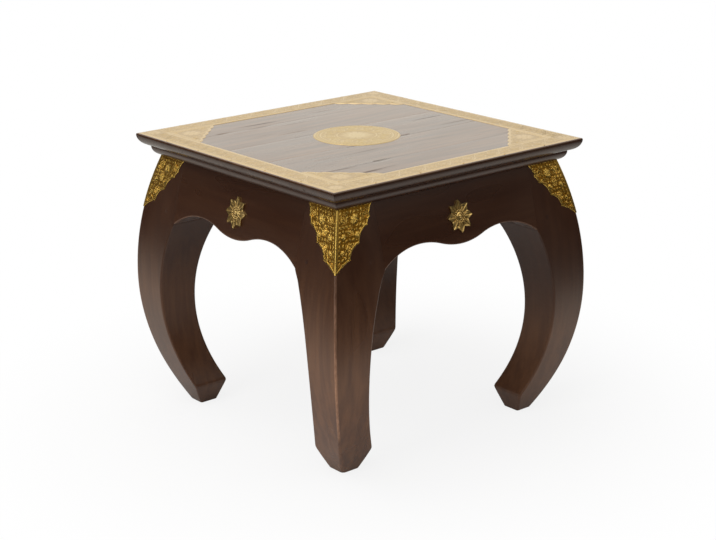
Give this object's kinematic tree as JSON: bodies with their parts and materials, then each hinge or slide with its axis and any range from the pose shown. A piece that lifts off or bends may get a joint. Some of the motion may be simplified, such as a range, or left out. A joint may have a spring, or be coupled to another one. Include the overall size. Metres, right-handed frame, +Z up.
{
  "type": "opium table",
  "caption": "Low square side table on bulging, inward-curling square legs, with scalloped aprons, a moulded plank top and nailed-on embossed brass sheet.",
  "frame": {"origin": "centre of the square between the feet, on the floor", "axes": "+Z up, -Y to the front apron, +X to the right apron; the planks run along Y"},
  "size_m": [0.4622, 0.4622, 0.408],
  "materials": {
    "dark_wood": "dark walnut stain under satin lacquer",
    "inner_wood": "planed, unfinished",
    "peg_wood": "filled and stained",
    "brass": "embossed sheet with dark recesses",
    "steel": "zinc plated"
  },
  "bodies": {
    "root": {"top_plank_1": "dark_wood", "top_plank_2": "dark_wood", "top_plank_3": "dark_wood", "top_plank_4": "dark_wood", "top_plank_5": "dark_wood", "moulding_front": "dark_wood", "moulding_right": "dark_wood", "moulding_back": "dark_wood", "moulding_left": "dark_wood", "apron_front": "dark_wood", "apron_right": "dark_wood", "apron_back": "dark_wood", "apron_left": "dark_wood", "cleat_front": "inner_wood", "cleat_right": "inner_wood", "cleat_back": "inner_wood", "cleat_left": "inner_wood", "border_strip_front": "brass", "border_strip_right": "brass", "border_strip_back": "brass", "border_strip_left": "brass", "rosette_front": "brass", "rosette_right": "brass", "rosette_back": "brass", "rosette_left": "brass", "leg_front_right": "dark_wood", "leg_back_right": "dark_wood", "leg_back_left": "dark_wood", "leg_front_left": "dark_wood", "corner_plate_front_right": "brass", "corner_plate_back_right": "brass", "corner_plate_back_left": "brass", "corner_plate_front_left": "brass", "leg_cap_front_right": "brass", "leg_cap_back_right": "brass", "leg_cap_back_left": "brass", "leg_cap_front_left": "brass", "medallion": "brass", "tenon_pegs": "peg_wood", "top_screws": "steel", "apron_screws": "steel", "top_sheet_pins": "brass", "leg_cap_pins": "brass", "rosette_nails": "brass"}
  },
  "joints": []
}
